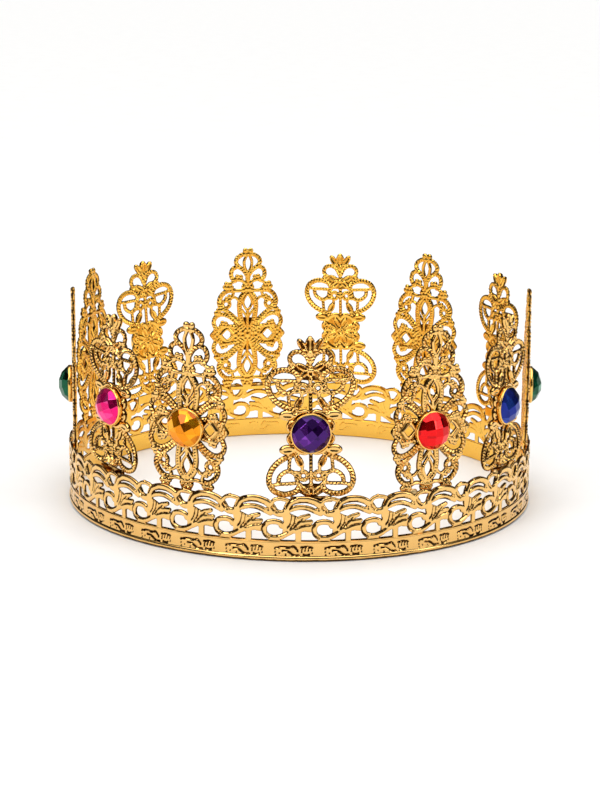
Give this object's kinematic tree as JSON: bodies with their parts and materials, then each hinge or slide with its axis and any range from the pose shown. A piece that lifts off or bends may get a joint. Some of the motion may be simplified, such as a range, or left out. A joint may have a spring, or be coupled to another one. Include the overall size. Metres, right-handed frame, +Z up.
{
  "type": "costume crown",
  "caption": "Round open crown: pierced scroll gallery band with upright filigree plaques, each carrying a domed faceted stone in a bezel.",
  "frame": {"origin": "on the ring's axis at the rim's lower edge", "axes": "+Z up along the ring's axis; -Y is the front, where the purple stone's flower plaque stands (2.8 degrees to its right)"},
  "size_m": [0.1656, 0.1648, 0.0743],
  "materials": {
    "band_gold": "polished gold plate",
    "plaque_gold": "polished gold plate",
    "bezel_gold": "polished gold plate",
    "solder": "satin, gold plated over solder",
    "purple_stone": "faceted, foil-backed acrylic",
    "red_stone": "faceted, foil-backed acrylic",
    "blue_stone": "faceted, foil-backed acrylic",
    "green_stone": "faceted, foil-backed acrylic",
    "pink_stone": "faceted, foil-backed acrylic",
    "orange_stone": "faceted, foil-backed acrylic"
  },
  "bodies": {
    "root": {"band": "band_gold", "seam_solder": "solder", "solder_tacks": "solder", "plaque_01": "plaque_gold", "plaque_02": "plaque_gold", "plaque_03": "plaque_gold", "plaque_04": "plaque_gold", "plaque_05": "plaque_gold", "plaque_06": "plaque_gold", "plaque_07": "plaque_gold", "plaque_08": "plaque_gold", "plaque_09": "plaque_gold", "plaque_10": "plaque_gold", "plaque_11": "plaque_gold", "plaque_12": "plaque_gold", "plaque_13": "plaque_gold", "bezel_01": "bezel_gold", "bezel_02": "bezel_gold", "bezel_03": "bezel_gold", "bezel_04": "bezel_gold", "bezel_05": "bezel_gold", "bezel_06": "bezel_gold", "bezel_07": "bezel_gold", "bezel_08": "bezel_gold", "bezel_09": "bezel_gold", "bezel_10": "bezel_gold", "bezel_11": "bezel_gold", "bezel_12": "bezel_gold", "bezel_13": "bezel_gold", "stone_01": "purple_stone", "stone_02": "red_stone", "stone_03": "blue_stone", "stone_04": "green_stone", "stone_05": "pink_stone", "stone_06": "orange_stone", "stone_07": "purple_stone", "stone_08": "red_stone", "stone_09": "blue_stone", "stone_10": "green_stone", "stone_11": "green_stone", "stone_12": "pink_stone", "stone_13": "orange_stone"}
  },
  "joints": []
}
